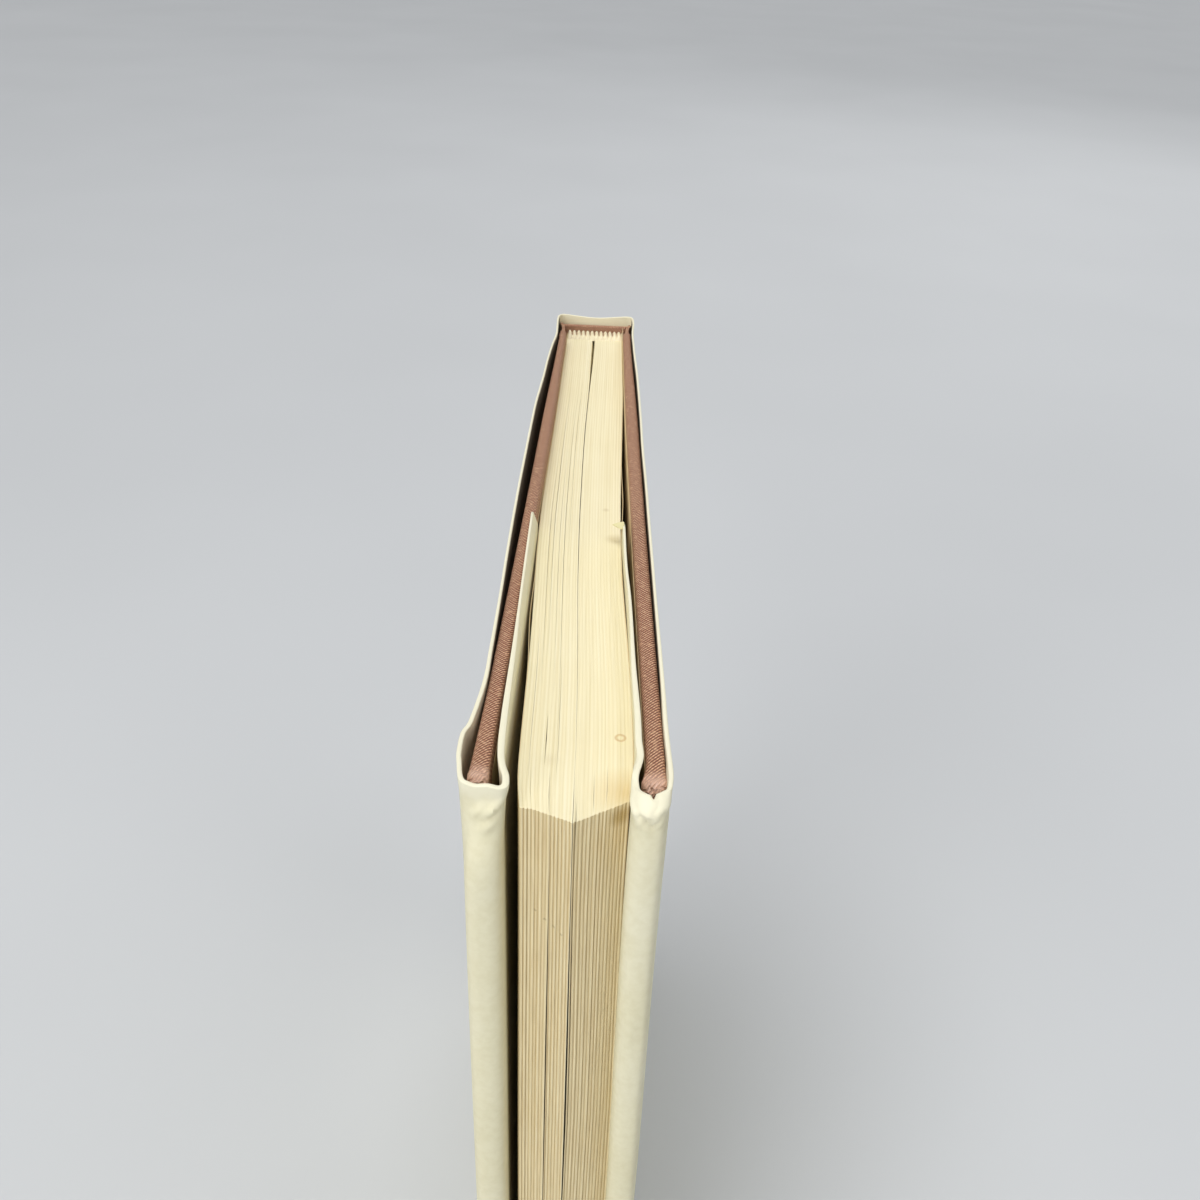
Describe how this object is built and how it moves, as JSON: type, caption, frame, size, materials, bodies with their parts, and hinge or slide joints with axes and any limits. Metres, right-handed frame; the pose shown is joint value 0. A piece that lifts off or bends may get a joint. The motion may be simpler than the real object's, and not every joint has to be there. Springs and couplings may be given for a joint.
{
  "type": "hardcover book",
  "caption": "Closed hardcover book in a plain cream paper jacket, cloth-covered boards and a cream leaf block with a pointed fore-edge; both covers swing open.",
  "frame": {"origin": "middle of the footprint, on the surface that the tail edge stands on", "axes": "+Z from tail to head, -Y towards the fore-edge, +Y towards the spine, -X towards the front cover"},
  "size_m": [0.0272, 0.1842, 0.2621],
  "materials": {
    "leaves": "matte",
    "band_thread": "satin",
    "gauze": "matte",
    "lining_paper": "matte",
    "greyboard": "matte",
    "book_cloth": "satin",
    "endpaper": "matte",
    "jacket_paper": "satin"
  },
  "bodies": {
    "block_and_spine": {"text_block": "leaves", "head_band": "band_thread", "tail_band": "band_thread", "spine_gauze": "gauze", "spine_lining": "lining_paper", "spine_strip": "greyboard", "spine_cloth": "book_cloth", "jacket_spine": "jacket_paper", "front_free_endpaper": "endpaper", "back_free_endpaper": "endpaper"},
    "front_cover": {"front_board": "greyboard", "front_cloth": "book_cloth", "front_pastedown": "endpaper", "front_jacket": "jacket_paper"},
    "back_cover": {"back_board": "greyboard", "back_cloth": "book_cloth", "back_pastedown": "endpaper", "back_jacket": "jacket_paper"}
  },
  "joints": [
    {"name": "front_cover_hinge", "type": "hinge", "parent": "block_and_spine", "child": "front_cover", "pos_m": [-0.01004, 0.08592, 0.13], "axis": [0, 0, -1], "range_deg": [0, 178]},
    {"name": "back_cover_hinge", "type": "hinge", "parent": "block_and_spine", "child": "back_cover", "pos_m": [0.01052, 0.08592, 0.13], "axis": [0, 0, 1], "range_deg": [0, 178]}
  ]
}
